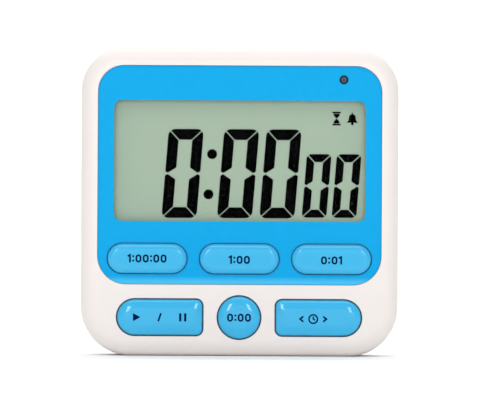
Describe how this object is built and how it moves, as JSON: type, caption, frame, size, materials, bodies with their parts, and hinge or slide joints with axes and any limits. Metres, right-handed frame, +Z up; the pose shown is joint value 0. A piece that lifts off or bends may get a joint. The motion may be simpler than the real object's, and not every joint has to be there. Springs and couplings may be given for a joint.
{
  "type": "digital countdown timer",
  "caption": "Pocket digital countdown timer with a segment display, domed keys, a folding rear stand and a magnetic back.",
  "frame": {"origin": "on the surface that the timer stands on, midway across its width and its depth", "axes": "+Z up, +X to the right seen from the front, the display and keys face -Y"},
  "size_m": [0.077, 0.0198, 0.0747],
  "materials": {
    "white_frame": "satin, warm white",
    "white_rear": "fine textured, warm white",
    "panel_blue": "satin, very fine grain",
    "key_blue": "polished",
    "clear_lens": "clear, polished",
    "display_glass": "clear, polished",
    "polariser_film": "grey-green film",
    "display_backing": "grey-green reflective film",
    "adhesive_tape": "thin foam tape",
    "inner_plastic": "plain moulded",
    "silicone": "translucent grey",
    "carbon": "conductive, dull black",
    "zebra": "layered grey",
    "board_green": "solder mask",
    "epoxy": "glossy resin",
    "component_black": "matt",
    "component_tan": "fired ceramic",
    "steel": "bright plated",
    "magnet_nickel": "nickel plated",
    "brass": "bare",
    "piezo_white": "silvered ceramic",
    "lamp_lens": "dark tinted",
    "cell_jacket": "printed sleeve, plain",
    "red_wire": "insulation",
    "black_wire": "insulation",
    "grey_wire": "insulation",
    "slider_grey": "satin"
  },
  "bodies": {
    "case": {"front_shell": "white_frame", "face_panel": "panel_blue", "lens_tape": "adhesive_tape", "display_lens": "clear_lens", "lcd_front_polariser": "polariser_film", "lcd_front_glass": "display_glass", "lcd_rear_glass": "display_glass", "lcd_reflector": "display_backing", "lcd_clamp": "inner_plastic", "zebra_strip": "zebra", "key_mat": "silicone", "circuit_board": "board_green", "chip_cover": "epoxy", "quartz_crystal": "steel", "board_resistors": "component_black", "board_capacitors": "component_tan", "board_screws": "steel", "alarm_lamp": "lamp_lens", "lamp_leads": "steel", "lamp_wires": "grey_wire", "rear_cover": "white_rear", "battery_can": "steel", "battery_jacket": "cell_jacket", "battery_spring": "steel", "positive_contact": "steel", "negative_contact": "steel", "positive_wire": "red_wire", "negative_wire": "black_wire", "magnets": "magnet_nickel", "piezo_plate": "brass", "piezo_ceramic": "piezo_white", "piezo_wires": "black_wire", "switch_housing": "steel", "case_screws": "steel"},
    "hour_key": {"hour_button": "key_blue", "hour_contact_pill": "carbon"},
    "minute_key": {"minute_button": "key_blue", "minute_contact_pill": "carbon"},
    "second_key": {"second_button": "key_blue", "second_contact_pill": "carbon"},
    "start_stop_key": {"start_stop_button": "key_blue", "start_stop_contact_pill": "carbon"},
    "clear_key": {"clear_button": "key_blue", "clear_contact_pill": "carbon"},
    "mode_key": {"mode_button": "key_blue", "mode_contact_pill": "carbon"},
    "stand": {"kickstand": "white_rear"},
    "door": {"battery_door": "white_rear"},
    "slider": {"sound_slider": "slider_grey", "switch_lever": "component_black"}
  },
  "joints": [
    {"name": "hour_press", "type": "slide", "parent": "case", "child": "hour_key", "axis": [0, 1, 0], "range_m": [0, 0.0008], "stiffness_N_per_m": 1200, "deforming": ["key_mat"]},
    {"name": "minute_press", "type": "slide", "parent": "case", "child": "minute_key", "axis": [0, 1, 0], "range_m": [0, 0.0008], "stiffness_N_per_m": 1200, "deforming": ["key_mat"]},
    {"name": "second_press", "type": "slide", "parent": "case", "child": "second_key", "axis": [0, 1, 0], "range_m": [0, 0.0008], "stiffness_N_per_m": 1200, "deforming": ["key_mat"]},
    {"name": "start_stop_press", "type": "slide", "parent": "case", "child": "start_stop_key", "axis": [0, 1, 0], "range_m": [0, 0.0008], "stiffness_N_per_m": 1200, "deforming": ["key_mat"]},
    {"name": "clear_press", "type": "slide", "parent": "case", "child": "clear_key", "axis": [0, 1, 0], "range_m": [0, 0.0008], "stiffness_N_per_m": 1200, "deforming": ["key_mat"]},
    {"name": "mode_press", "type": "slide", "parent": "case", "child": "mode_key", "axis": [0, 1, 0], "range_m": [0, 0.0008], "stiffness_N_per_m": 1200, "deforming": ["key_mat"]},
    {"name": "stand_hinge", "type": "hinge", "parent": "case", "child": "stand", "pos_m": [0, 0.00865, 0.0334], "axis": [1, 0, 0], "range_deg": [0, 52]},
    {"name": "door_lift", "type": "slide", "parent": "case", "child": "door", "axis": [0, 1, 0], "range_m": [0, 0.012]},
    {"name": "sound_slide", "type": "slide", "parent": "case", "child": "slider", "axis": [1, 0, 0], "range_m": [-0.002, 0.002]}
  ]
}
